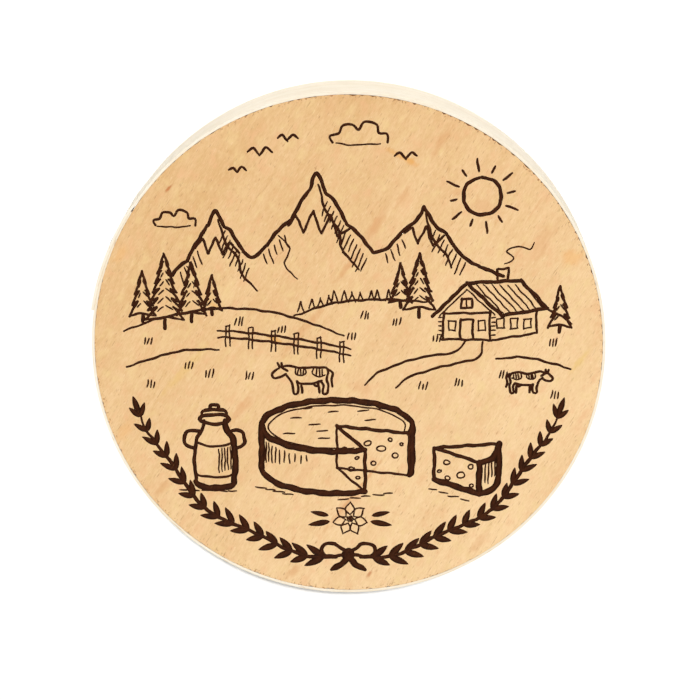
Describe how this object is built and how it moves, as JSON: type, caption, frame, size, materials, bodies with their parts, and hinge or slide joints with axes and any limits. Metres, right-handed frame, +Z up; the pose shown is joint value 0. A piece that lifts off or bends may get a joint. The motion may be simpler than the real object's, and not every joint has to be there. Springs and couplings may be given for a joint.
{
  "type": "round wooden cheese box",
  "caption": "Round box of thin peeled veneer for one soft cheese: a base and a slip-over lid, each a toothed-edge disc held in a wound, lapped and stapled band.",
  "frame": {"origin": "middle of the base's underside, on the axis of the round box", "axes": "+Z up through the lid, so that the closed box lies flat; +Y is the upper edge of the lid's picture, +X its right edge"},
  "size_m": [0.115, 0.115, 0.033],
  "materials": {
    "disc_veneer": "dry, unvarnished peeled veneer, tan",
    "band_veneer": "dry, unvarnished peeled veneer, pale cream",
    "staple_wire": "drawn flat wire"
  },
  "bodies": {
    "base": {"base_disc": "disc_veneer", "base_band": "band_veneer", "base_staple_lower": "staple_wire", "base_staple_upper": "staple_wire"},
    "lid": {"lid_disc": "disc_veneer", "lid_band": "band_veneer", "lid_staple_left": "staple_wire", "lid_staple_right": "staple_wire"}
  },
  "joints": [
    {"name": "lid_lift", "type": "slide", "parent": "base", "child": "lid", "axis": [0, 0, 1], "range_m": [0, 0.06]}
  ]
}
